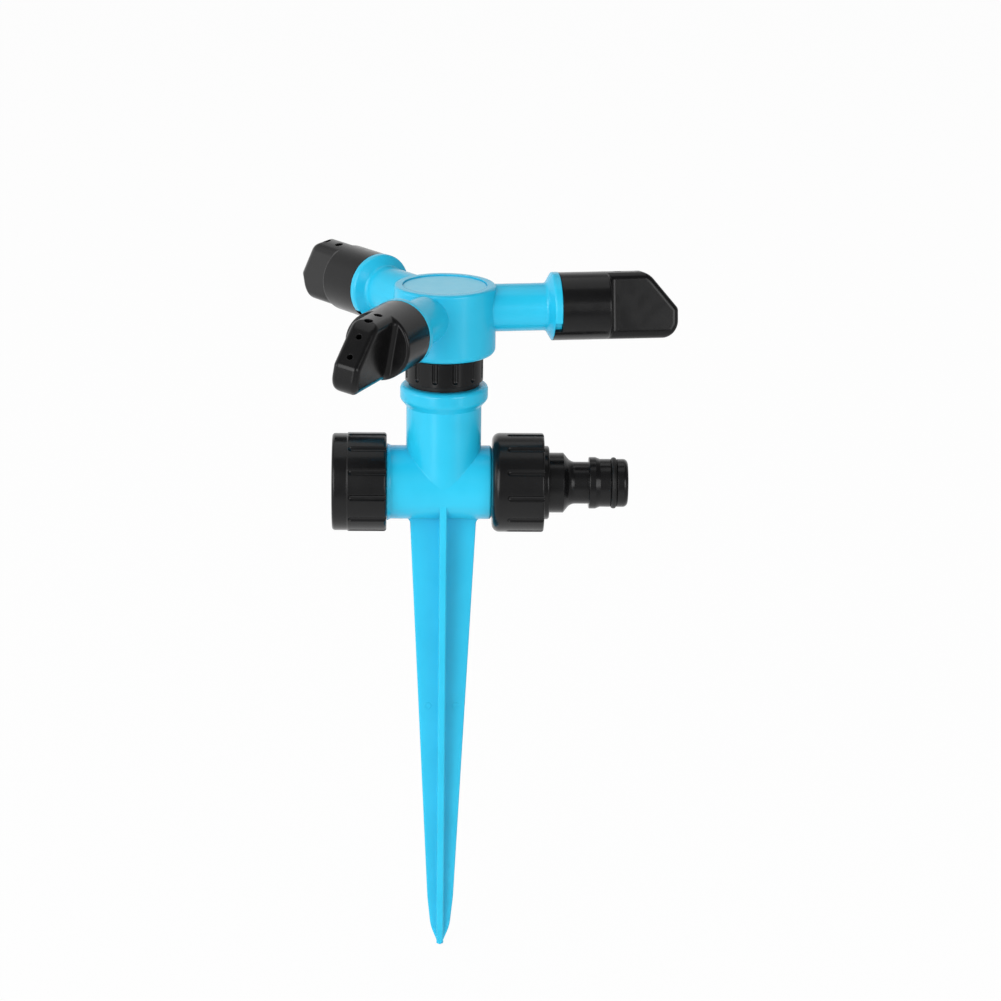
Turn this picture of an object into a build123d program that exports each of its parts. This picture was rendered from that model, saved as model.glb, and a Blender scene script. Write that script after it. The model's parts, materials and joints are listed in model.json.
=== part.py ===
from build123d import *
from math import atan2, degrees, sqrt
import os

os.makedirs("parts", exist_ok=True)

# Fits, radial unless named otherwise
THREAD_CLEARANCE = 0.08
RUN_CLEARANCE = 0.05
BOND_CLEARANCE = 0.02
SEAL_CLEARANCE = 0.01
AXIAL_PLAY = 0.12

# Ground spike
SPIKE_WIDTH = 22.2
SPIKE_LOW_WIDTH = 8.9
SPIKE_TAPER_LENGTH = 137.0
SPIKE_POINT_LENGTH = 17.7
SPIKE_TIP_FLAT = 0.1
RIB_WIDTH = 22.9
RIB_THICKNESS = 2.4
RIB_EDGE = 0.55
WING_FILLET = 2.0
POINT_ROUNDING = 45.0
POINT_FULLNESS = 0.37

# Water barrel, X runs along it, and the neck above it
BARREL_R = 12.3
BARREL_BORE_R = 8.6
INLET_EDGE = 0.8
CAP_FLARE = 0.5
CAP_FLARE_LENGTH = 0.9
CAP_FLARE_LAND = 0.3
THREAD_R = 11.46
THREAD_LENGTH = 12.9
CAP_SIDE_LENGTH = 18.8
INLET_SIDE_LENGTH = 15.9
INLET_THREAD_LENGTH = 10.5
NECK_BORE_R = 10.5
NECK_WALL = 1.95
NECK_HEIGHT = 34.0
NECK_FOOT_INSET = 0.1
NECK_FOOT_HEIGHT = 4.0
COLLAR_R = 14.55
COLLAR_HEIGHT = 4.7
COLLAR_CHAMFER = 2.5
COLLAR_CHAMFER_ROUNDING = 2.0
COLLAR_ROUNDING = 1.5

# End cap and union nut, both screwed on the barrel
GRIP_WALL = 4.96
GRIP_COUNT = 12
GRIP_CUT_R = 1.25
GRIP_DEPTH = 0.7
GRIP_PHASE = 2.5
CAP_FLOOR = 2.8
CAP_RIM_SETBACK = 0.12
CAP_RIM_ROUNDING = 0.9
CAP_SMOOTH_BAND = 5.3
CAP_BAND_INSET = 0.3
CAP_WASHER_THICKNESS = 2.5
CAP_ROUNDING = 1.0
NUT_RIM_SETBACK = 0.3
NUT_SMOOTH_BAND = 6.0
NUT_ROUNDING = 2.5
NUT_LIP = 2.8
NUT_END_ROUNDING = 0.8
BOSS_WALL = 2.2
BOSS_LENGTH = 1.8
INLET_WASHER_THICKNESS = 1.8

# Hose nipple
NIPPLE_BORE_R = 5.0
NIPPLE_SHANK_R = 10.0
NIPPLE_FLANGE = 2.4
NIPPLE_FLANGE_INSET = 0.25
SHANK_REACH = 4.7
SHANK_CONE = 2.4
NIPPLE_NECK_R = 7.0
NIPPLE_NECK_LENGTH = 6.1
NIPPLE_NECK_FILLET = 3.4
LOCK_R = 8.6
LOCK_EDGE = 0.4
LOCK_LENGTH = 2.2
LOCK_TAPER = 1.5
NIPPLE_TUBE_R = 8.0
NIPPLE_SEAL_OFFSET = 3.6
NIPPLE_RING_R = 8.55
NIPPLE_RING_SECTION = 1.0
NIPPLE_END_LENGTH = 3.7
NIPPLE_END_ROUNDING = 1.6

# Swivel base screwed into the neck
NECK_WASHER_THICKNESS = 1.7
NECK_WASHER_INSET = 1.2
SWIVEL_R = 12.9
SWIVEL_HEIGHT = 8.0
SWIVEL_LIP = 1.0
SWIVEL_STEM_LENGTH = 16.3
FLUTE_COUNT = 12
FLUTE_CUT_R = 1.1
FLUTE_DEPTH = 0.75
FLUTE_PHASE = 16.2

# Hollow spindle that holds the rotor down
SPINDLE_R = 6.0
SPINDLE_BORE_R = 3.4
SPINDLE_FLANGE = 2.0
SPINDLE_FLANGE_INSET = 1.0
SPINDLE_RING_SECTION = 0.7
UPPER_WASHER_THICKNESS = 0.8
LOWER_WASHER_THICKNESS = 1.0
WASHER_WIDTH = 3.0

# Rotor
ROTOR_ANGLE = 6.4
ARM_COUNT = 3
HUB_R = 16.85
HUB_HEIGHT = 23.1
HUB_FLOOR = 4.0
HUB_BOTTOM_ROUNDING = 2.0
HUB_TOP_ROUNDING = 1.0
HUB_CAP_R = 13.9
HUB_CAP_THICKNESS = 2.5
HUB_CAP_RECESS = 0.45
HUB_CAP_ROUNDING = 0.4
HUB_LEDGE = 1.4
ARM_R = 7.85
ARM_DROP = 0.4
ARM_BORE_R = 4.4
ARM_REACH = 33.4
ARM_FLARE_ROUNDING = 1.4
RIM_CONE = 2.0
RIM_LENGTH = 2.4
RIM_R = 11.35
RIM_ROUNDING = 0.9
RIM_EDGE = 0.4
SPIGOT_LENGTH = 12.0
NOTCH_WIDTH = 126.0

# Nozzles
NOZZLE_TWIST = 9.9
NOZZLE_R = 11.2
NOZZLE_WALL = 2.4
NOZZLE_SLEEVE = 16.4
NOZZLE_SLAB = 23.0
SLAB_THICKNESS = 9.0
SLAB_WALL = 2.0
SLANT_RUN = 10.3
SLANT_DROP = 12.5
SLANT_TOP_ROUNDING = 7.5
SLANT_TIP_ROUNDING = 2.2
SLAB_HEEL_ROUNDING = 6.0
SLAB_EDGE = 2.6
SLAB_BOTTOM_EDGE = 3.2
SLAB_END_EDGE = 2.0
OUTLINE_SPARE = 0.05
SHOULDER_FILLET = 1.8
SLEEVE_EDGE = 0.9
TOP_JET_R = 1.4
TOP_JET_SETBACK = 2.3
SLANT_JET_R = 0.95
SLANT_JET_SETBACK = 5.4
JET_SPACING = 7.2
JETS_PER_FACE = 2
LUG_WIDTH = 90.0
LUG_THICKNESS = 1.2
NOZZLE_RING_SECTION = 0.9
NOZZLE_RING_SETBACK = 4.0
BEAD_HEIGHT = 0.5
BEAD_LENGTH = 1.4
BEAD_SETBACK = 1.6
GROOVE_PLAY = 0.1

# Places along the barrel
BARREL_Z = BARREL_R
CAP_END_X = -CAP_SIDE_LENGTH - THREAD_LENGTH
CAP_FLOOR_X = CAP_END_X - CAP_WASHER_THICKNESS
CAP_FACE_X = CAP_FLOOR_X - CAP_FLOOR
CAP_RIM_X = -CAP_SIDE_LENGTH - CAP_RIM_SETBACK
INLET_END_X = INLET_SIDE_LENGTH + INLET_THREAD_LENGTH
NIPPLE_FLANGE_X = INLET_END_X + INLET_WASHER_THICKNESS
NUT_LIP_X = NIPPLE_FLANGE_X + NIPPLE_FLANGE
NUT_END_X = NUT_LIP_X + NUT_LIP
BOSS_END_X = NUT_END_X + BOSS_LENGTH
NUT_RIM_X = INLET_SIDE_LENGTH + NUT_RIM_SETBACK
SHANK_END_X = BOSS_END_X + SHANK_REACH
CONE_END_X = SHANK_END_X + SHANK_CONE
LOCK_X = CONE_END_X + NIPPLE_NECK_LENGTH
LOCK_END_X = LOCK_X + LOCK_LENGTH + LOCK_TAPER
NIPPLE_RING_X = LOCK_END_X + NIPPLE_SEAL_OFFSET + NIPPLE_RING_SECTION
NIPPLE_END_X = NIPPLE_RING_X + NIPPLE_RING_SECTION + NIPPLE_END_LENGTH

# Radii that follow from the fits
GRIP_BORE_R = THREAD_R + THREAD_CLEARANCE
GRIP_R = GRIP_BORE_R + GRIP_WALL
WASHER_R = THREAD_R - NIPPLE_FLANGE_INSET
BOSS_BORE_R = NIPPLE_SHANK_R + RUN_CLEARANCE
NECK_R = NECK_BORE_R + NECK_WALL
STEM_R = NECK_BORE_R - THREAD_CLEARANCE
SWIVEL_BORE_R = SPINDLE_R + RUN_CLEARANCE
NOZZLE_BORE_R = NOZZLE_R - NOZZLE_WALL
SPIGOT_R = NOZZLE_BORE_R - RUN_CLEARANCE
LUG_R = NOZZLE_R - LUG_THICKNESS
NOTCH_R = LUG_R - RUN_CLEARANCE
CHAMBER_R = HUB_CAP_R - HUB_LEDGE

# Heights up the rotor axis
COLLAR_TOP_Z = BARREL_Z + NECK_HEIGHT
SWIVEL_Z = COLLAR_TOP_Z + NECK_WASHER_THICKNESS
SWIVEL_TOP_Z = SWIVEL_Z + SWIVEL_HEIGHT
STEM_END_Z = SWIVEL_Z - SWIVEL_STEM_LENGTH
LOWER_WASHER_Z = STEM_END_Z - AXIAL_PLAY - LOWER_WASHER_THICKNESS
SPINDLE_END_Z = LOWER_WASHER_Z - SPINDLE_FLANGE
HUB_Z = SWIVEL_TOP_Z + UPPER_WASHER_THICKNESS + AXIAL_PLAY
HUB_TOP_Z = HUB_Z + HUB_HEIGHT
CHAMBER_Z = HUB_Z + HUB_FLOOR
HUB_CAP_Z = HUB_TOP_Z - HUB_CAP_RECESS - HUB_CAP_THICKNESS
ARM_Z = HUB_TOP_Z - ARM_DROP - ARM_R
SPINDLE_RING_Z = (SWIVEL_TOP_Z + STEM_END_Z) / 2

# Places along an arm
RIM_X = ARM_REACH + RIM_CONE
RIM_END_X = RIM_X + RIM_LENGTH
SPIGOT_END_X = RIM_END_X + SPIGOT_LENGTH
NOZZLE_X = RIM_END_X + AXIAL_PLAY
SHOULDER_X = NOZZLE_X + NOZZLE_SLEEVE
TIP_X = SHOULDER_X + NOZZLE_SLAB
NOZZLE_RING_X = RIM_END_X + NOZZLE_RING_SETBACK
BEAD_X = SPIGOT_END_X - BEAD_SETBACK - BEAD_LENGTH


def outline(corners):
    """Flat face from corners (x, y) or (x, y, rounding radius)."""
    face = make_face(Polyline(*[corner[:2] for corner in corners], close=True))
    for corner in corners:
        if len(corner) == 3:
            face = fillet(face.vertices().sort_by_distance((corner[0], corner[1], 0))[0], corner[2])
    return face


def lathe(corners, sweep=360):
    """Solid turned about Z from corners (radius, height) or (radius, height, rounding radius)."""
    return revolve(Plane.XZ * outline(corners), Axis.Z, revolution_arc=sweep)


def tube(inner, outer, low, high):
    """Plain ring about Z."""
    return lathe([(inner, low), (outer, low), (outer, high), (inner, high)])


def rod(radius, low, high):
    """Plain cylinder about Z."""
    return Pos(0, 0, (low + high) / 2) * Cylinder(radius, high - low)


def seal_ring(outer, section, height):
    """Round rubber ring about Z."""
    return Pos(0, 0, height) * Torus(outer - section, section)


def seal_groove(outer, section, height, reach):
    """Cutter for the groove that a round rubber ring sits in."""
    floor = outer - 2 * section - SEAL_CLEARANCE
    half = section + GROOVE_PLAY
    return tube(floor, reach, height - half, height + half)


def flutes(count, radius, cut, depth, start, end, phase):
    """Cutters for grip grooves along Z, each with a round end at start."""
    centre = radius + cut - depth
    low, high = min(start, end), max(start, end)
    groove = Pos(centre, 0, 0) * rod(cut, low, high) + Pos(centre, 0, start) * Sphere(cut)
    return [Rot(0, 0, phase + i * 360 / count) * groove for i in range(count)]


def along_barrel(shape):
    """Turns a shape made about Z onto the barrel axis."""
    return Pos(0, 0, BARREL_Z) * Rot(0, 90, 0) * shape


def on_arm(shape, index, twist=0):
    """Turns a shape made along X onto one arm of the rotor."""
    turn = ROTOR_ANGLE + index * 360 / ARM_COUNT
    return Pos(0, 0, ARM_Z) * Rot(0, 0, turn) * Rot(-twist, 0, 0) * shape


def spike_edge(top):
    """Right-hand corners of the spike's outline below the given top corners."""
    low = -SPIKE_TAPER_LENGTH
    tip = low - SPIKE_POINT_LENGTH
    waist = (SPIKE_LOW_WIDTH / 2, low, POINT_ROUNDING)
    shoulder = (SPIKE_LOW_WIDTH * POINT_FULLNESS, low - SPIKE_POINT_LENGTH * 0.62, POINT_ROUNDING / 3)
    return top + [waist, shoulder, (RIB_EDGE + SPIKE_TIP_FLAT / 2, tip)]


def plate(right):
    """Spike rib, symmetric about Z, from its right-hand corners, its long edges rounded."""
    left = [(-corner[0],) + corner[1:] for corner in reversed(right)]
    rib = extrude(Plane.XZ * outline(right + left), RIB_THICKNESS / 2, both=True)
    sides = [e for e in rib.edges().filter_by(Axis.X, reverse=True) if abs(e.center().Y) > RIB_EDGE]
    return fillet([e for e in sides if e.center().Z < 0], RIB_EDGE)


def spike():
    """Cross-shaped ground spike."""
    half = SPIKE_WIDTH / 2
    foot = half + WING_FILLET + GROOVE_PLAY
    wing = spike_edge([(foot, BARREL_R - BARREL_BORE_R), (foot, 0), (half, 0, WING_FILLET)])
    rib = spike_edge([(RIB_WIDTH / 2, BARREL_Z)])
    return plate(wing) + Rot(0, 0, 90) * plate(rib)


def spike_body():
    """Spike, water barrel and neck, one moulding."""
    flare_r = BARREL_R + CAP_FLARE
    land = CAP_FLARE_LAND - CAP_SIDE_LENGTH
    cap_side = [(0, -CAP_SIDE_LENGTH), (flare_r, -CAP_SIDE_LENGTH), (flare_r, land)]
    flare = [(BARREL_R, land + CAP_FLARE_LENGTH, CAP_FLARE_LENGTH)]
    inlet_side = [(BARREL_R, INLET_SIDE_LENGTH, INLET_EDGE), (0, INLET_SIDE_LENGTH)]
    barrel = lathe(cap_side + flare + inlet_side)
    barrel += rod(THREAD_R, CAP_END_X, -CAP_SIDE_LENGTH)
    barrel += rod(THREAD_R, INLET_SIDE_LENGTH, INLET_END_X)
    low = COLLAR_TOP_Z - COLLAR_HEIGHT
    top = (COLLAR_R, COLLAR_TOP_Z, COLLAR_ROUNDING)
    under = [(NECK_R, low - COLLAR_CHAMFER), (COLLAR_R, low, COLLAR_CHAMFER_ROUNDING)]
    collar = under + [top, (0, COLLAR_TOP_Z)]
    foot = [(0, BARREL_Z), (BARREL_R - NECK_FOOT_INSET, BARREL_Z), (NECK_R, BARREL_Z + NECK_FOOT_HEIGHT)]
    neck = lathe(foot + collar)
    body = spike() + along_barrel(barrel) + neck
    body -= along_barrel(rod(BARREL_BORE_R, CAP_END_X, INLET_END_X))
    return body - rod(NECK_BORE_R, BARREL_Z, COLLAR_TOP_Z)


def end_cap():
    """Screw cap that closes the far end of the barrel."""
    band_r = GRIP_R - CAP_BAND_INSET
    step = CAP_FACE_X + CAP_SMOOTH_BAND
    band = [(band_r, CAP_FACE_X, CAP_ROUNDING), (band_r, step - CAP_BAND_INSET)]
    outer = band + [(GRIP_R, step), (GRIP_R, CAP_RIM_X, CAP_RIM_ROUNDING)]
    inner = [(GRIP_BORE_R, CAP_RIM_X), (GRIP_BORE_R, CAP_FLOOR_X), (0, CAP_FLOOR_X)]
    cap = lathe([(0, CAP_FACE_X)] + outer + inner)
    cuts = flutes(GRIP_COUNT, GRIP_R, GRIP_CUT_R, GRIP_DEPTH, step + GRIP_CUT_R, CAP_RIM_X, GRIP_PHASE)
    return along_barrel(cap - cuts)


def union_nut():
    """Nut that clamps the hose nipple on the barrel and turns freely round it."""
    boss_r = BOSS_BORE_R + BOSS_WALL
    rim = [(GRIP_BORE_R, NUT_RIM_X), (GRIP_R, NUT_RIM_X, NUT_ROUNDING), (GRIP_R, NUT_END_X, NUT_END_ROUNDING)]
    boss = [(boss_r, NUT_END_X), (boss_r, BOSS_END_X, NUT_END_ROUNDING), (BOSS_BORE_R, BOSS_END_X)]
    nut = lathe(rim + boss + [(BOSS_BORE_R, NUT_LIP_X), (GRIP_BORE_R, NUT_LIP_X)])
    start = NUT_RIM_X + NUT_SMOOTH_BAND
    cuts = flutes(GRIP_COUNT, GRIP_R, GRIP_CUT_R, GRIP_DEPTH, start, NUT_END_X, GRIP_PHASE)
    return along_barrel(nut - cuts)


def inlet_nipple():
    """Hose tail with flange, locking shoulder and groove for its rubber ring."""
    flange = [(NIPPLE_BORE_R, NIPPLE_FLANGE_X), (WASHER_R, NIPPLE_FLANGE_X), (WASHER_R, NUT_LIP_X)]
    shank = [(NIPPLE_SHANK_R, NUT_LIP_X), (NIPPLE_SHANK_R, SHANK_END_X)]
    neck = [(NIPPLE_NECK_R, CONE_END_X, NIPPLE_NECK_FILLET)]
    lock = [(NIPPLE_NECK_R, LOCK_X), (LOCK_R, LOCK_X, LOCK_EDGE), (LOCK_R, LOCK_X + LOCK_LENGTH)]
    tail = [(NIPPLE_TUBE_R, LOCK_END_X), (NIPPLE_TUBE_R, NIPPLE_END_X, NIPPLE_END_ROUNDING)]
    nipple = lathe(flange + shank + neck + lock + tail + [(NIPPLE_BORE_R, NIPPLE_END_X)])
    groove = seal_groove(NIPPLE_RING_R, NIPPLE_RING_SECTION, NIPPLE_RING_X, LOCK_R)
    return along_barrel(nipple - groove)


def swivel_base():
    """Fluted ring with a stem that screws into the neck and a bore that the spindle turns in."""
    stem = [(SWIVEL_BORE_R, STEM_END_Z), (STEM_R, STEM_END_Z), (STEM_R, SWIVEL_Z)]
    ring = [(SWIVEL_R, SWIVEL_Z), (SWIVEL_R, SWIVEL_TOP_Z), (SWIVEL_BORE_R, SWIVEL_TOP_Z)]
    start = SWIVEL_Z + SWIVEL_LIP + FLUTE_CUT_R
    cuts = flutes(FLUTE_COUNT, SWIVEL_R, FLUTE_CUT_R, FLUTE_DEPTH, start, SWIVEL_TOP_Z, FLUTE_PHASE)
    return lathe(stem + ring) - cuts


def spindle():
    """Hollow bolt, fixed in the hub, whose flange hooks under the swivel base."""
    flange_r = NECK_BORE_R - SPINDLE_FLANGE_INSET
    foot = [(SPINDLE_BORE_R, SPINDLE_END_Z), (flange_r, SPINDLE_END_Z), (flange_r, LOWER_WASHER_Z)]
    shaft = [(SPINDLE_R, LOWER_WASHER_Z), (SPINDLE_R, CHAMBER_Z), (SPINDLE_BORE_R, CHAMBER_Z)]
    seal = SWIVEL_BORE_R - SEAL_CLEARANCE
    return lathe(foot + shaft) - seal_groove(seal, SPINDLE_RING_SECTION, SPINDLE_RING_Z, SWIVEL_BORE_R)


def arm_outside():
    """Arm, flared rim and spigot, along X, solid."""
    tubing = [(0, 0), (ARM_R, 0), (ARM_R, ARM_REACH, ARM_FLARE_ROUNDING)]
    rim = [(RIM_R, RIM_X, RIM_ROUNDING), (RIM_R, RIM_END_X, RIM_EDGE)]
    spigot = [(SPIGOT_R, RIM_END_X), (SPIGOT_R, SPIGOT_END_X), (0, SPIGOT_END_X)]
    arm = lathe(tubing + rim + spigot)
    crest = SPIGOT_R + BEAD_HEIGHT
    slope = BEAD_X + BEAD_LENGTH
    bead = [(0, BEAD_X), (crest, BEAD_X), (crest, slope)]
    return arm + lathe(bead + [(SPIGOT_R, SPIGOT_END_X), (0, SPIGOT_END_X)])


def arm_cuts():
    """Water way, seal groove and the notch that limits how far a nozzle turns."""
    bore = rod(ARM_BORE_R, 0, SPIGOT_END_X)
    seal = NOZZLE_BORE_R - SEAL_CLEARANCE
    groove = seal_groove(seal, NOZZLE_RING_SECTION, NOZZLE_RING_X, RIM_R)
    corners = [(NOTCH_R, RIM_X), (2 * RIM_R, RIM_X), (2 * RIM_R, RIM_END_X), (NOTCH_R, RIM_END_X)]
    notch = Rot(0, 0, -NOTCH_WIDTH / 2) * lathe(corners, NOTCH_WIDTH)
    return [bore, groove, notch]


def rotor_hub():
    """Hub with its three arms, one moulding."""
    bottom = (HUB_R, HUB_Z, HUB_BOTTOM_ROUNDING)
    hub = lathe([(0, HUB_Z), bottom, (HUB_R, HUB_TOP_Z, HUB_TOP_ROUNDING), (0, HUB_TOP_Z)])
    lying = Rot(0, 90, 0)
    for i in range(ARM_COUNT):
        hub += on_arm(lying * arm_outside(), i)
    hub -= rod(CHAMBER_R, CHAMBER_Z, HUB_TOP_Z)
    hub -= rod(HUB_CAP_R + BOND_CLEARANCE, HUB_CAP_Z, HUB_TOP_Z)
    hub -= rod(SPINDLE_R + BOND_CLEARANCE, HUB_Z, CHAMBER_Z)
    for i in range(ARM_COUNT):
        hub -= [on_arm(lying * cut, i, NOZZLE_TWIST) for cut in arm_cuts()]
    return hub


def hub_cap():
    """Disc that closes the hub."""
    top = HUB_CAP_Z + HUB_CAP_THICKNESS
    return lathe([(0, HUB_CAP_Z), (HUB_CAP_R, HUB_CAP_Z), (HUB_CAP_R, top, HUB_CAP_ROUNDING), (0, top)])


def slab_outline(radius, tip, inset):
    """Side view of the flat nozzle end in X and height."""
    length = sqrt(SLANT_RUN ** 2 + SLANT_DROP ** 2)
    shrink = 1 - inset * (SLANT_RUN + SLANT_DROP - length) / (SLANT_RUN * SLANT_DROP)
    top = radius + OUTLINE_SPARE
    knee = (tip - SLANT_RUN * shrink, top, SLANT_TOP_ROUNDING)
    nose = (tip, top - SLANT_DROP * shrink, SLANT_TIP_ROUNDING)
    heel = (tip, -top, SLAB_HEEL_ROUNDING)
    return outline([(NOZZLE_X, top), knee, nose, heel, (NOZZLE_X, -top)])


def slab(section, start, radius, tip, inset):
    """Flat nozzle end from its cross-section and its side view."""
    bar = extrude(Plane.YZ.offset(start) * section, tip - start)
    return bar & extrude(Plane.XZ * slab_outline(radius, tip, inset), radius, both=True)


def slab_skin():
    """Outside of the flat nozzle end, all its edges rounded."""
    half = SLAB_THICKNESS / 2
    section = Circle(NOZZLE_R) & Rectangle(SLAB_THICKNESS, 2 * NOZZLE_R)
    section = fillet(section.vertices().sort_by(Axis.Y)[:2], SLAB_BOTTOM_EDGE)
    section = fillet(section.vertices().sort_by(Axis.Y)[-2:], SLAB_EDGE)
    flat = slab(section, SPIGOT_END_X + AXIAL_PLAY, NOZZLE_R, TIP_X, 0)
    ends = flat.edges().filter_by(Axis.X, reverse=True)
    ends = [e for e in ends if abs(abs(e.center().Y) - half) < BOND_CLEARANCE and e.center().X > SHOULDER_X]
    return fillet(ends, SLAB_END_EDGE)


def slab_hollow():
    """Water room inside the flat nozzle end."""
    radius = NOZZLE_R - SLAB_WALL
    section = Circle(radius) & Rectangle(SLAB_THICKNESS - 2 * SLAB_WALL, 2 * radius)
    return slab(section, SPIGOT_END_X, radius, TIP_X - SLAB_WALL, SLAB_WALL)


def jets():
    """Cutters for the jet holes in the top edge and in the slant."""
    knee = Pos(TIP_X - SLANT_RUN, 0, NOZZLE_R)
    slope = knee * Rot(0, degrees(atan2(SLANT_DROP, SLANT_RUN)), 0)
    depth = 4 * SLAB_WALL
    holes = []
    for i in range(JETS_PER_FACE):
        holes.append(knee * Pos(-TOP_JET_SETBACK - i * JET_SPACING, 0, 0) * Cylinder(TOP_JET_R, depth))
        holes.append(slope * Pos(SLANT_JET_SETBACK + i * JET_SPACING, 0, 0) * Cylinder(SLANT_JET_R, depth))
    return holes


def nozzle():
    """Twist nozzle along X with its stop lug at the bottom."""
    back = [(NOZZLE_BORE_R, NOZZLE_X), (NOZZLE_R, NOZZLE_X)]
    floor = SPIGOT_END_X + AXIAL_PLAY
    front = [(NOZZLE_R, SHOULDER_X, SLEEVE_EDGE), (0, SHOULDER_X), (0, floor), (NOZZLE_BORE_R, floor)]
    sleeve = lathe(back + front)
    crest = NOZZLE_BORE_R + BEAD_HEIGHT
    sleeve -= rod(crest, BEAD_X - GROOVE_PLAY, floor)
    low = RIM_X + AXIAL_PLAY
    corners = [(LUG_R, low), (NOZZLE_R, low), (NOZZLE_R, NOZZLE_X), (LUG_R, NOZZLE_X)]
    lug = Rot(0, 0, -LUG_WIDTH / 2) * lathe(corners, LUG_WIDTH)
    body = Rot(0, 90, 0) * (sleeve + lug) + slab_skin()
    half = SLAB_THICKNESS / 2
    chords = [e for e in body.edges().filter_by(Axis.Z) if abs(e.center().X - SHOULDER_X) < BOND_CLEARANCE]
    chords = [e for e in chords if abs(abs(e.center().Y) - half) < BOND_CLEARANCE]
    return fillet(chords, SHOULDER_FILLET) - slab_hollow() - jets()


def nozzle_ring():
    """Rubber ring on a spigot, along X."""
    return Rot(0, 90, 0) * seal_ring(NOZZLE_BORE_R - SEAL_CLEARANCE, NOZZLE_RING_SECTION, NOZZLE_RING_X)


def build():
    """Every node of the sprinkler by name."""
    upper = SWIVEL_TOP_Z + UPPER_WASHER_THICKNESS
    lower = LOWER_WASHER_Z + LOWER_WASHER_THICKNESS
    washer_r = SPINDLE_R + BOND_CLEARANCE + WASHER_WIDTH
    spindle_seal = SWIVEL_BORE_R - SEAL_CLEARANCE
    nipple_ring = seal_ring(NIPPLE_RING_R, NIPPLE_RING_SECTION, NIPPLE_RING_X)
    nodes = {
        "spike_body": spike_body(),
        "end_cap": end_cap(),
        "end_cap_washer": along_barrel(tube(BARREL_BORE_R, WASHER_R, CAP_FLOOR_X, CAP_END_X)),
        "union_nut": union_nut(),
        "inlet_nipple": inlet_nipple(),
        "inlet_washer": along_barrel(tube(BARREL_BORE_R, WASHER_R, INLET_END_X, NIPPLE_FLANGE_X)),
        "nipple_o_ring": along_barrel(nipple_ring),
        "neck_washer": tube(NECK_BORE_R, SWIVEL_R - NECK_WASHER_INSET, COLLAR_TOP_Z, SWIVEL_Z),
        "swivel_base": swivel_base(),
        "spindle": spindle(),
        "spindle_o_ring": seal_ring(spindle_seal, SPINDLE_RING_SECTION, SPINDLE_RING_Z),
        "upper_thrust_washer": tube(SWIVEL_BORE_R, washer_r, SWIVEL_TOP_Z, upper),
        "lower_thrust_washer": tube(SPINDLE_R + BOND_CLEARANCE, washer_r, LOWER_WASHER_Z, lower),
        "rotor_hub": rotor_hub(),
        "hub_cap": hub_cap(),
    }
    for i in range(ARM_COUNT):
        nodes[f"nozzle_{i + 1}"] = on_arm(nozzle(), i, NOZZLE_TWIST)
        nodes[f"nozzle_{i + 1}_o_ring"] = on_arm(nozzle_ring(), i)
    return nodes


for name, shape in build().items():
    export_step(shape, f"parts/{name}.step")
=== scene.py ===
"""Looks of the rotary sprinkler: moulded finishes, mould marks, a plain studio and the photo's camera."""

import json
import logging
import math
from dataclasses import dataclass
from enum import Enum

import bpy
from mathutils import Matrix, Vector


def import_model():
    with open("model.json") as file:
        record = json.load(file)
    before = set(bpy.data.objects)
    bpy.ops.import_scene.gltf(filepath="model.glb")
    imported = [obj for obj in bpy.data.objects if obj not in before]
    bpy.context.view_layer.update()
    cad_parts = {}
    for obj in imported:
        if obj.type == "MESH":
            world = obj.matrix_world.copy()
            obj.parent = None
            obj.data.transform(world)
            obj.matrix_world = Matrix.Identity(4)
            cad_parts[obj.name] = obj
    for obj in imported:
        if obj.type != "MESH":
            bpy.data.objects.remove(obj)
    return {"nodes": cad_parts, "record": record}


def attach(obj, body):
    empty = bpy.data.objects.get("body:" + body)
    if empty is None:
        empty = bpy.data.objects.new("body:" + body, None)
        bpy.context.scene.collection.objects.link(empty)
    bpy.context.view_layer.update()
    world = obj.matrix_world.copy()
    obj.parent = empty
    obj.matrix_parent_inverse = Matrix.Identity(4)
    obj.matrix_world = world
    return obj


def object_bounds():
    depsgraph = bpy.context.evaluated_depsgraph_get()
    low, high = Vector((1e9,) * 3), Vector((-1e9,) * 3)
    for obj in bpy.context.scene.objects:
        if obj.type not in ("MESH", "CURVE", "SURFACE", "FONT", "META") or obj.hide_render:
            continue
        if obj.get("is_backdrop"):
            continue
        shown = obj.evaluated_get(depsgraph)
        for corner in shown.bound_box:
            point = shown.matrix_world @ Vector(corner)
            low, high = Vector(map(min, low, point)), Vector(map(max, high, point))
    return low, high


LOG = logging.getLogger("sprinkler")
MM = 0.001
WHITE = (1.0, 1.0, 1.0, 1.0)
Socket = bpy.types.NodeSocket
Number = Socket | float
Colour = tuple[float, float, float]
Span = tuple[float, float]


class Slot(Enum):
    """Material slots of the record."""

    BLUE = "blue plastic"
    PALE_BLUE = "pale blue plastic"
    BLACK = "black plastic"
    NYLON = "white nylon"
    RUBBER = "rubber"


class Along(Enum):
    """Axis that a screw thread runs along, with the two axes across it."""

    BARREL = ("X", "Y", "Z")
    NECK = ("Z", "X", "Y")


@dataclass(frozen=True)
class Thread:
    """A screw thread shown as relief on a plain cylinder.

    Attributes:
        along: The axis of the thread.
        radius: Radius of the cylinder that carries it.
        start: Lower end along the axis.
        end: Upper end along the axis.
        centre: Height of the axis above the origin, for a thread along the barrel.
        pitch: Advance in one turn.
        depth: Height of the relief.
        wall: How far from the cylinder a point still belongs to the thread.
    """

    along: Along
    radius: float
    start: float
    end: float
    centre: float = 0.0
    pitch: float = 1.814 * MM
    depth: float = 0.55 * MM
    wall: float = 0.2 * MM


@dataclass(frozen=True)
class Patches:
    """Soft patches of noise.

    Attributes:
        size: Size of a patch in metres.
        octaves: Octaves of the noise.
        span: The part of the noise's numbers that is used.
    """

    size: float
    octaves: float
    span: Span = (0.0, 1.0)


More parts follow.
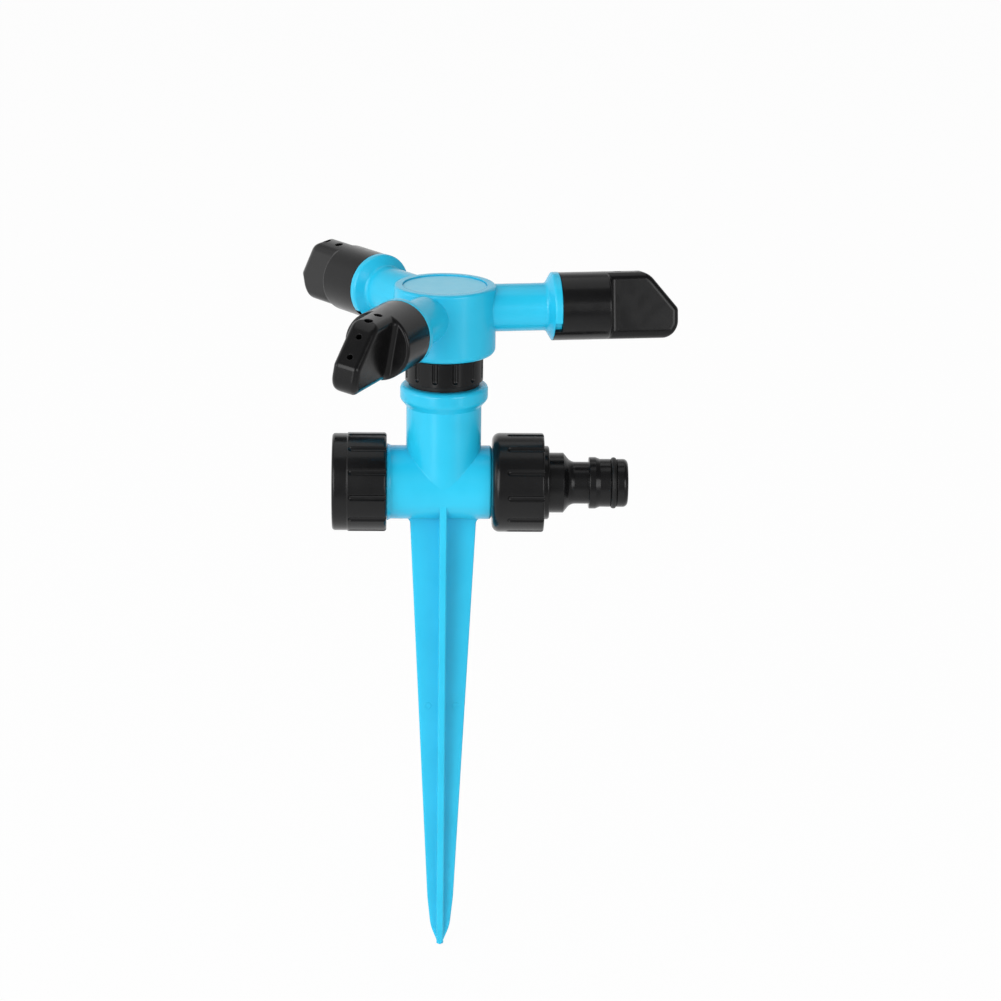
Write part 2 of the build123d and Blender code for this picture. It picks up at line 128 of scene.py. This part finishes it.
class Nodes:
    """Short calls for the nodes of one material or world."""

    def __init__(self, tree: bpy.types.NodeTree) -> None:
        """Keeps the node tree.

        Args:
            tree: The material's or world's nodes.
        """
        self.tree = tree

    def feed(self, socket: Socket, value: Number | tuple[float, ...]) -> None:
        """Links an output to a socket, or sets the socket's own value.

        Args:
            socket: The input.
            value: The output, number or colour that it takes.
        """
        if isinstance(value, bpy.types.NodeSocket):
            self.tree.links.new(value, socket)
        else:
            socket.default_value = value

    def split(self, where: Socket) -> bpy.types.bpy_prop_collection:
        """Splits coordinates.

        Args:
            where: The coordinates.

        Returns:
            The outputs X, Y and Z.
        """
        node = self.tree.nodes.new("ShaderNodeSeparateXYZ")
        self.feed(node.inputs[0], where)
        return node.outputs

    def math(self, kind: str, first: Number, second: Number = 0.0, third: Number = 0.0) -> Socket:
        """Adds a Math node.

        Args:
            kind: The operation.
            first: First value.
            second: Second value.
            third: Third value.

        Returns:
            The result.
        """
        node = self.tree.nodes.new("ShaderNodeMath")
        node.operation = kind
        for socket, value in zip(node.inputs, (first, second, third)):
            self.feed(socket, value)
        return node.outputs["Value"]

    def spread(self, value: Socket, taken: Span, given: Span) -> Socket:
        """Maps one span of numbers smoothly to another.

        Args:
            value: The number.
            taken: Span that comes in.
            given: Span that goes out.

        Returns:
            The mapped number.
        """
        node = self.tree.nodes.new("ShaderNodeMapRange")
        node.interpolation_type = "SMOOTHSTEP"
        for name, number in zip(("From Min", "From Max", "To Min", "To Max"), taken + given):
            self.feed(node.inputs[name], number)
        self.feed(node.inputs["Value"], value)
        return node.outputs["Result"]

    def noise(self, where: Socket, patches: Patches) -> Socket:
        """Adds a noise texture.

        Args:
            where: Coordinates to read.
            patches: Size and octaves of the noise.

        Returns:
            The noise's value.
        """
        node = self.tree.nodes.new("ShaderNodeTexNoise")
        self.feed(node.inputs["Scale"], 1 / patches.size)
        self.feed(node.inputs["Detail"], patches.octaves)
        self.feed(node.inputs["Vector"], where)
        return node.outputs["Fac"]

    def patches(self, where: Socket, patches: Patches, given: Span) -> Socket:
        """Adds noise and spreads the part of it that is used.

        Args:
            where: Coordinates to read.
            patches: The noise.
            given: Span that goes out.

        Returns:
            The spread noise.
        """
        return self.spread(self.noise(where, patches), patches.span, given)

    def mix(self, share: Socket, first: Socket | Colour, second: Socket | Colour) -> Socket:
        """Mixes two colours.

        Args:
            share: Share of the second colour.
            first: Colour at 0.
            second: Colour at 1.

        Returns:
            The mixed colour.
        """
        node = self.tree.nodes.new("ShaderNodeMix")
        node.data_type = "RGBA"
        factor, colour_at_0, colour_at_1 = node.inputs[0], node.inputs[6], node.inputs[7]
        self.feed(factor, share)
        for socket, colour in ((colour_at_0, first), (colour_at_1, second)):
            self.feed(socket, colour if isinstance(colour, bpy.types.NodeSocket) else (*colour, 1.0))
        return node.outputs[2]

    def bump(self, height: Socket, distance: float, below: Socket) -> Socket:
        """Adds a relief over an earlier normal.

        Args:
            height: The height field.
            distance: Height of the relief in metres.
            below: The normal to build on.

        Returns:
            The new normal.
        """
        node = self.tree.nodes.new("ShaderNodeBump")
        self.feed(node.inputs["Distance"], distance)
        self.feed(node.inputs["Height"], height)
        self.feed(node.inputs["Normal"], below)
        return node.outputs["Normal"]


# Slow change of colour through a moulding, and quicker change of its polish
FLOW = Patches(18 * MM, 3.0, (0.35, 0.65))
POLISH = Patches(3.5 * MM, 4.0, (0.3, 0.7))
# Patches of the painted highlight along sharp edges, with their least and greatest share
EDGE_HIGHLIGHT_PATCHES = Patches(1.6 * MM, 3.0, (0.4, 0.7))
EDGE_HIGHLIGHT_SHARE = (0.15, 1.0)
# Shrinkage waves and fine grain of the surface
WAVES = Patches(9 * MM, 1.0)
GRAIN_OCTAVES = 2.0
# Cosine of the turn that softening gives the surface, from a sharp edge to a flat face
EDGE_COSINES = (0.80, 0.97)
EDGE_SAMPLES = 6


@dataclass(frozen=True)
class Finish:
    """A moulded finish with variation of colour and gloss, softened edges lightened by a painted
    highlight, and a fine grain.

    Attributes:
        slot: The record's material slot that the finish belongs to.
        low: Darker colour of the moulding, linear.
        high: Lighter colour of the moulding, linear.
        edge: Colour of the painted highlight along sharp edges, linear.
        rough: Lowest and highest roughness.
        specular: Specular level of the surface.
        grain: Size of the fine surface grain in metres.
        depth: Height of the fine grain in metres.
        wave: Height of the slow shrinkage waves in metres.
        rounding: Radius that sharp edges are softened by, in metres.
    """

    slot: Slot
    low: Colour
    high: Colour
    edge: Colour
    rough: Span
    specular: float
    grain: float = 0.45 * MM
    depth: float = 0.003 * MM
    wave: float = 0.02 * MM
    rounding: float = 0.35 * MM

    def material(self, threads: tuple[Thread, ...] = ()) -> bpy.types.Material:
        """Builds the node material.

        Args:
            threads: Screw threads on the node that wears it.

        Returns:
            The material, named after the slot.
        """
        made = bpy.data.materials.new(self.slot.value.replace(" ", "_"))
        made.use_nodes = True
        inputs = made.node_tree.nodes["Principled BSDF"].inputs
        inputs["Specular IOR Level"].default_value = self.specular
        nodes = Nodes(made.node_tree)
        where = made.node_tree.nodes.new("ShaderNodeTexCoord").outputs["Object"]
        soft, edge_highlight_mask = self._edges(nodes)
        body = nodes.mix(nodes.patches(where, FLOW, (0.0, 1.0)), self.low, self.high)
        # Painted highlight: sharp edges are lightened in patches towards the edge colour
        patchy_edge_highlight = nodes.math("MULTIPLY", edge_highlight_mask, nodes.patches(where, EDGE_HIGHLIGHT_PATCHES, EDGE_HIGHLIGHT_SHARE))
        nodes.feed(inputs["Base Color"], nodes.mix(patchy_edge_highlight, body, self.edge))
        nodes.feed(inputs["Roughness"], nodes.patches(where, POLISH, self.rough))
        normal = nodes.bump(nodes.noise(where, WAVES), self.wave, soft)
        grain = nodes.noise(where, Patches(self.grain, GRAIN_OCTAVES))
        normal = nodes.bump(grain, self.depth, normal)
        for thread in threads:
            normal = nodes.bump(self._thread(nodes, where, thread), thread.depth, normal)
        nodes.feed(inputs["Normal"], normal)
        return made

    def _edges(self, nodes: Nodes) -> tuple[Socket, Socket]:
        """Softens sharp edges and finds them.

        Args:
            nodes: The material's nodes.

        Returns:
            The softened normal, and a number that is 1 along sharp edges, which places the painted edge
            highlight.
        """
        bevel = nodes.tree.nodes.new("ShaderNodeBevel")
        bevel.samples = EDGE_SAMPLES
        bevel.inputs["Radius"].default_value = self.rounding
        soft = bevel.outputs["Normal"]
        dot = nodes.tree.nodes.new("ShaderNodeVectorMath")
        dot.operation = "DOT_PRODUCT"
        nodes.feed(dot.inputs[0], soft)
        nodes.feed(dot.inputs[1], nodes.tree.nodes.new("ShaderNodeNewGeometry").outputs["Normal"])
        return soft, nodes.spread(dot.outputs["Value"], EDGE_COSINES, (1.0, 0.0))

    @staticmethod
    def _thread(nodes: Nodes, where: Socket, thread: Thread) -> Socket:
        """Height field of a screw thread on its own cylinder alone.

        Args:
            nodes: The material's nodes.
            where: Object coordinates.
            thread: The thread.

        Returns:
            The height, from 0 to 1.
        """
        parts = nodes.split(where)
        run, across, up = (parts[name] for name in thread.along.value)
        rise = nodes.math("SUBTRACT", up, thread.centre)
        angle = nodes.math("ARCTAN2", rise, across)
        phase = nodes.math("MULTIPLY_ADD", angle, 1 / math.tau, nodes.math("DIVIDE", run, thread.pitch))
        ridge = nodes.math("MULTIPLY", nodes.math("PINGPONG", phase, 0.5), 2.0)
        squares = nodes.math("MULTIPLY_ADD", rise, rise, nodes.math("MULTIPLY", across, across))
        off = nodes.math("SUBTRACT", nodes.math("SQRT", squares), thread.radius)
        on_wall = nodes.math("LESS_THAN", nodes.math("ABSOLUTE", off), thread.wall)
        begun = nodes.math("GREATER_THAN", run, thread.start)
        inside = nodes.math("MULTIPLY", begun, nodes.math("LESS_THAN", run, thread.end))
        return nodes.math("MULTIPLY", ridge, nodes.math("MULTIPLY", on_wall, inside))


# Each span of roughness stays on one side of 0.27, because denoising leaves specks where one crosses it
# Each finish's edge colour is a painted highlight along sharp edges
FINISHES = (
    Finish(
        Slot.BLUE,
        low=(0.016, 0.49, 0.74),
        high=(0.020, 0.515, 0.77),
        edge=(0.032, 0.56, 0.82),
        rough=(0.215, 0.268),
        specular=0.38,
        depth=0.0006 * MM,
        wave=0.006 * MM,
    ),
    Finish(
        Slot.PALE_BLUE,
        low=(0.17, 0.635, 0.845),
        high=(0.19, 0.66, 0.87),
        edge=(0.21, 0.70, 0.89),
        rough=(0.38, 0.44),
        specular=0.5,
        depth=0.0005 * MM,
        wave=0.003 * MM,
    ),
    Finish(
        Slot.BLACK,
        low=(0.0043, 0.0043, 0.0046),
        high=(0.0058, 0.0058, 0.0061),
        edge=(0.009, 0.009, 0.0094),
        rough=(0.18, 0.25),
        specular=0.27,
        depth=0.0008 * MM,
        wave=0.006 * MM,
    ),
    Finish(
        Slot.NYLON,
        low=(0.70, 0.69, 0.63),
        high=(0.76, 0.75, 0.70),
        edge=(0.80, 0.79, 0.75),
        rough=(0.42, 0.52),
        specular=0.4,
    ),
    Finish(
        Slot.RUBBER,
        low=(0.004, 0.004, 0.004),
        high=(0.006, 0.006, 0.006),
        edge=(0.01, 0.01, 0.01),
        rough=(0.4, 0.5),
        specular=0.3,
        grain=0.3 * MM,
        depth=0.002 * MM,
    ),
)
# Height of the water barrel's axis over the ground
BARREL_AXIS = 12.3 * MM
THREADS = {
    "spike_body": (
        Thread(Along.BARREL, 11.46 * MM, start=-31.7 * MM, end=-19.0 * MM, centre=BARREL_AXIS),
        Thread(Along.BARREL, 11.46 * MM, start=16.2 * MM, end=26.4 * MM, centre=BARREL_AXIS),
        Thread(Along.NECK, 10.5 * MM, start=22.0 * MM, end=46.0 * MM),
    ),
    "end_cap": (Thread(Along.BARREL, 11.54 * MM, start=-31.7 * MM, end=-19.4 * MM, centre=BARREL_AXIS),),
    "union_nut": (Thread(Along.BARREL, 11.54 * MM, start=16.8 * MM, end=26.4 * MM, centre=BARREL_AXIS),),
    "swivel_base": (Thread(Along.NECK, 10.42 * MM, start=31.9 * MM, end=46.6 * MM),),
}


class Wardrobe:
    """Finishes by slot, put on the CAD nodes and on new pieces."""

    def __init__(self, record: dict) -> None:
        """Makes one material per slot.

        Args:
            record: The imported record.
        """
        self.finishes = {finish.slot: finish for finish in FINISHES}
        self.by_slot = {slot: finish.material() for slot, finish in self.finishes.items()}
        self.node_slot = {entry["node"]: Slot(entry["material_slot"]) for entry in record["subparts"]}

    def dress(self, obj: bpy.types.Object, slot: Slot, threads: tuple[Thread, ...] = ()) -> None:
        """Gives an object a finish.

        Args:
            obj: The object.
            slot: The slot of the finish.
            threads: Screw threads on the object.
        """
        obj.data.materials.clear()
        obj.data.materials.append(self.finishes[slot].material(threads) if threads else self.by_slot[slot])

    def dress_nodes(self, nodes: dict[str, bpy.types.Object]) -> None:
        """Gives every CAD node its finish.

        Args:
            nodes: CAD objects by name.
        """
        for name, obj in nodes.items():
            self.dress(obj, self.node_slot[name], THREADS.get(name, ()))
            LOG.info("node %s: %s", name, self.node_slot[name].value)


@dataclass(frozen=True)
class EjectorMarks:
    """Round marks that the mould's ejector pins leave on the spike's wings.

    Attributes:
        wing: Distance of the wings' front face from the spike's axis.
        proud: Height of a mark over the wing.
        sunk: Depth of a mark's body in the wing.
        lip: Width of a mark's rounded lip.
        lip_steps: Steps of the lip's rounding.
        sides: Sides of a mark's circle.
        land: Width of the flat ring inside the lip, as a share of the radius.
        slope: Width of the slope into the dish, as a share of the radius.
        dish: Depth of the dish, as a share of the height.
        smooth: Degrees up to which edges shade smoothly.
        places: Distance from the axis, height and radius of each pair.
    """

    wing: float = 1.2 * MM
    proud: float = 0.07 * MM
    sunk: float = 0.3 * MM
    lip: float = 0.05 * MM
    lip_steps: int = 3
    sides: int = 40
    land: float = 0.12
    slope: float = 0.1
    dish: float = 0.6
    smooth: float = 40.0
    places: tuple[tuple[float, float, float], ...] = (
        (4.75 * MM, -66.7 * MM, 1.25 * MM),
        (2.8 * MM, -125.3 * MM, 0.65 * MM),
    )

    def build(self, wardrobe: Wardrobe) -> list[bpy.types.Object]:
        """Makes a mark on each wing at each height.

        Args:
            wardrobe: The finishes.

        Returns:
            The marks.
        """
        made = []
        for out, height, radius in self.places:
            for side in (-1, 1):
                place = Vector((side * out, -self.wing, height))
                made.append(self._mark(f"ejector_mark_{len(made) + 1}", place, radius))
        for mark in made:
            wardrobe.dress(mark, Slot.BLUE)
            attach(mark, "base")
        return made

    def _mark(self, name: str, place: Vector, radius: float) -> bpy.types.Object:
        """Makes one mark with a rounded lip and a dished middle.

        Args:
            name: Name of the piece.
            place: Centre of the mark on the wing's face.
            radius: Radius of the mark.

        Returns:
            The mark.
        """
        bpy.ops.object.select_all(action="DESELECT")
        bpy.ops.mesh.primitive_cylinder_add(
            vertices=self.sides,
            radius=radius,
            depth=self.sunk + self.proud,
            location=place + Vector((0.0, (self.sunk - self.proud) / 2, 0.0)),
            rotation=(math.pi / 2, 0.0, 0.0),
        )
        mark = bpy.context.object
        mark.name = name
        bpy.ops.object.transform_apply(location=True, rotation=True, scale=True)
        self._select_front(mark)
        bpy.ops.object.mode_set(mode="EDIT")
        bpy.ops.mesh.bevel(offset=self.lip, segments=self.lip_steps, affect="EDGES")
        bpy.ops.object.mode_set(mode="OBJECT")
        self._select_front(mark)
        bpy.ops.object.mode_set(mode="EDIT")
        bpy.ops.mesh.inset(thickness=self.land * radius, depth=0.0)
        bpy.ops.mesh.inset(thickness=self.slope * radius, depth=-self.dish * self.proud)
        bpy.ops.object.mode_set(mode="OBJECT")
        bpy.ops.object.shade_smooth_by_angle(angle=math.radians(self.smooth))
        return mark

    @staticmethod
    def _select_front(mark: bpy.types.Object) -> None:
        """Selects the mark's front face alone.

        Args:
            mark: The mark, in object mode.
        """
        bpy.ops.object.mode_set(mode="EDIT")
        bpy.ops.mesh.select_mode(type="FACE")
        bpy.ops.mesh.select_all(action="DESELECT")
        bpy.ops.object.mode_set(mode="OBJECT")
        front = min(mark.data.polygons, key=lambda face: (round(face.center.y, 7), -face.area))
        front.select = True


@dataclass(frozen=True)
class PhotoCamera:
    """The photograph's camera.

    Attributes:
        turn: Degrees that the object is turned about the upright axis.
        rise: Degrees above the horizon.
        roll: Degrees that the picture is turned clockwise.
        distance: Metres from the aim point.
        scale: Pixels in a metre at the aim point.
        aim: The point that the optical axis goes through.
        pixel: Where the aim point shows in the picture.
        frame: Width and height of the picture in pixels.
        sensor: Width of the sensor in millimetres.
        clip: Nearest and furthest point that shows, in metres.
    """

    turn: float = 0.5
    rise: float = 16.75
    roll: float = 0.44
    distance: float = 1.171
    scale: float = 2999.0
    aim: tuple[float, float, float] = (0.0, 0.0, 0.0123)
    pixel: tuple[float, float] = (443.3, 482.0)
    frame: float = 1001.0
    sensor: float = 36.0
    clip: Span = (0.01, 100.0)

    def build(self) -> bpy.types.Object:
        """Makes the camera the scene's camera.

        Returns:
            The camera object.
        """
        turn, rise, roll = (math.radians(angle) for angle in (self.turn, self.rise, self.roll))
        level = math.cos(rise)
        look = Vector((math.sin(turn) * level, math.cos(turn) * level, -math.sin(rise)))
        right = Vector((math.cos(turn), -math.sin(turn), 0.0))
        up = right.cross(look)
        side = right * math.cos(roll) + up * math.sin(roll)
        top = up * math.cos(roll) - right * math.sin(roll)
        data = bpy.data.cameras.new("photo_camera")
        data.sensor_width = self.sensor
        data.lens = self.scale * self.distance * self.sensor / self.frame
        data.shift_x = (self.frame / 2 - self.pixel[0]) / self.frame
        data.shift_y = (self.pixel[1] - self.frame / 2) / self.frame
        data.clip_start, data.clip_end = self.clip
        camera = bpy.data.objects.new("photo_camera", data)
        bpy.context.scene.collection.objects.link(camera)
        turned = Matrix((side, top, -look)).transposed().to_4x4()
        camera.matrix_world = Matrix.Translation(Vector(self.aim) - look * self.distance) @ turned
        bpy.context.scene.camera = camera
        return camera


@dataclass(frozen=True)
class SoftBox:
    """A studio light.

    Attributes:
        name: Name of the light.
        place: Where it stands, in metres.
        size: Width of the light in metres.
        power: Watts.
        tall: Height of the light as a multiple of its width.
    """

    name: str
    place: tuple[float, float, float]
    size: float
    power: float
    tall: float = 1.0

    def build(self) -> None:
        """Puts the light up, aimed at the object."""
        data = bpy.data.lights.new(self.name, "AREA")
        data.shape = "RECTANGLE"
        data.size, data.size_y = self.size, self.size * self.tall
        data.energy = self.power
        light = bpy.data.objects.new(self.name, data)
        light.location = self.place
        light.rotation_mode = "QUATERNION"
        light.rotation_quaternion = (-Vector(self.place)).to_track_quat("-Z", "Y")
        light.visible_camera = False
        bpy.context.scene.collection.objects.link(light)


@dataclass(frozen=True)
class Studio:
    """Plain pale floor, soft boxes and a sky that is white behind and to the left and dim overhead.

    Attributes:
        floor_size: Side of the floor in metres.
        floor_white: Colour of the floor's paper.
        floor_rough: Roughness of the floor's paper.
        glow: Share of the floor's pure white as seen by the camera and in reflections.
        front_dim: How bright reflections show the floor in front of the object.
        front_span: Where the floor in front goes from dim to white, in metres.
        right_dim: How bright reflections show the floor to the right of the object.
        right_span: Where the floor to the right goes from white to dim, in metres.
        sky_dim: Strength of the sky on the dim side.
        sky_white: Strength of the sky on the white side.
        sky_sides: Where the sky goes from dim to white, across the lean.
        overhead: Share of the sky's strength that is left overhead.
        overhead_span: Heights in the sky where it fades to that share.
        lean: How far the white side leans from the back to the left.
        boxes: The lights.
    """

    floor_size: float = 16.0
    floor_white: float = 0.9
    floor_rough: float = 0.9
    glow: float = 0.96
    front_dim: float = 0.45
    front_span: Span = (-0.6, -0.15)
    right_dim: float = 0.5
    right_span: Span = (0.0, 0.35)
    sky_dim: float = 0.25
    sky_white: float = 1.0
    sky_sides: Span = (-1.8, 0.5)
    overhead: float = 0.35
    overhead_span: Span = (0.35, 0.8)
    lean: float = 2.2
    boxes: tuple[SoftBox, ...] = (
        SoftBox("key_left", (-1.35, -2.07, 0.8), size=1.6, power=34.0, tall=1.4),
        SoftBox("fill_right", (1.4, -1.85, 0.35), size=1.4, power=18.5),
        SoftBox("streak_left", (-0.263, -0.483, 0.03), size=0.13, power=0.26, tall=2.9),
        SoftBox("streak_right", (0.379, -0.399, 0.03), size=0.11, power=0.13, tall=3.3),
        SoftBox("strip_left", (-1.7, -0.3, 0.35), size=0.7, power=3.0),
        SoftBox("top", (0.0, 0.3, 1.7), size=1.6, power=6.0),
    )

    def build(self, ground: float) -> None:
        """Sets up floor, sky and lights.

        Args:
            ground: Height of the floor in metres.
        """
        bpy.ops.object.select_all(action="DESELECT")
        bpy.ops.mesh.primitive_plane_add(size=self.floor_size, location=(0.0, 0.0, ground))
        floor = bpy.context.object
        floor.name = "studio_floor"
        floor.data.materials.append(self._floor_material())
        floor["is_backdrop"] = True
        bpy.context.scene.world = self._sky()
        for box in self.boxes:
            box.build()
        bpy.context.scene.view_settings.view_transform = "Standard"

    def _sky(self) -> bpy.types.World:
        """Makes the sky.

        Returns:
            The world.
        """
        world = bpy.data.worlds.new("studio_sky")
        world.use_nodes = True
        tree = world.node_tree
        nodes = Nodes(tree)
        parts = nodes.split(tree.nodes.new("ShaderNodeTexCoord").outputs["Generated"])
        height = nodes.spread(parts["Z"], self.overhead_span, (1.0, self.overhead))
        toward = nodes.math("MULTIPLY_ADD", parts["X"], -self.lean, parts["Y"])
        side = nodes.spread(toward, self.sky_sides, (self.sky_dim, self.sky_white))
        seen = tree.nodes.new("ShaderNodeLightPath").outputs["Is Camera Ray"]
        strength = nodes.math("MAXIMUM", seen, nodes.math("MULTIPLY", height, side))
        nodes.feed(tree.nodes["Background"].inputs["Strength"], strength)
        nodes.feed(tree.nodes["Background"].inputs["Color"], WHITE)
        return world

    def _floor_material(self) -> bpy.types.Material:
        """White paper that keeps a faint shadow.

        Returns:
            The floor's material.
        """
        made = bpy.data.materials.new("white_paper")
        made.use_nodes = True
        tree = made.node_tree
        nodes = Nodes(tree)
        paper = tree.nodes["Principled BSDF"]
        nodes.feed(paper.inputs["Base Color"], (self.floor_white, self.floor_white, self.floor_white, 1.0))
        nodes.feed(paper.inputs["Roughness"], self.floor_rough)
        parts = nodes.split(tree.nodes.new("ShaderNodeTexCoord").outputs["Object"])
        aside = nodes.math("ADD", nodes.math("ABSOLUTE", parts["X"]), parts["Y"])
        front = nodes.spread(aside, self.front_span, (self.front_dim, 1.0))
        right = nodes.spread(parts["X"], self.right_span, (1.0, self.right_dim))
        path = tree.nodes.new("ShaderNodeLightPath").outputs
        strength = nodes.math("MAXIMUM", path["Is Camera Ray"], nodes.math("MULTIPLY", front, right))
        mirrored = nodes.math("MAXIMUM", path["Is Glossy Ray"], path["Is Transmission Ray"])
        seen = nodes.math("MAXIMUM", path["Is Camera Ray"], mirrored)
        glow = tree.nodes.new("ShaderNodeEmission")
        nodes.feed(glow.inputs["Strength"], strength)
        mix = tree.nodes.new("ShaderNodeMixShader")
        nodes.feed(mix.inputs["Fac"], nodes.math("MULTIPLY", seen, self.glow))
        nodes.feed(mix.inputs[1], paper.outputs["BSDF"])
        nodes.feed(mix.inputs[2], glow.outputs["Emission"])
        nodes.feed(tree.nodes["Material Output"].inputs["Surface"], mix.outputs["Shader"])
        return made


def main() -> None:
    """Dresses the sprinkler and sets up the studio."""
    logging.basicConfig(level=logging.INFO, format="%(name)s: %(message)s")
    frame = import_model()
    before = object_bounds()
    wardrobe = Wardrobe(frame["record"])
    wardrobe.dress_nodes(frame["nodes"])
    for mark in EjectorMarks().build(wardrobe):
        LOG.info("piece %s", mark.name)
    Studio().build(before[0].z)
    PhotoCamera().build()


if __name__ == "__main__":
    main()
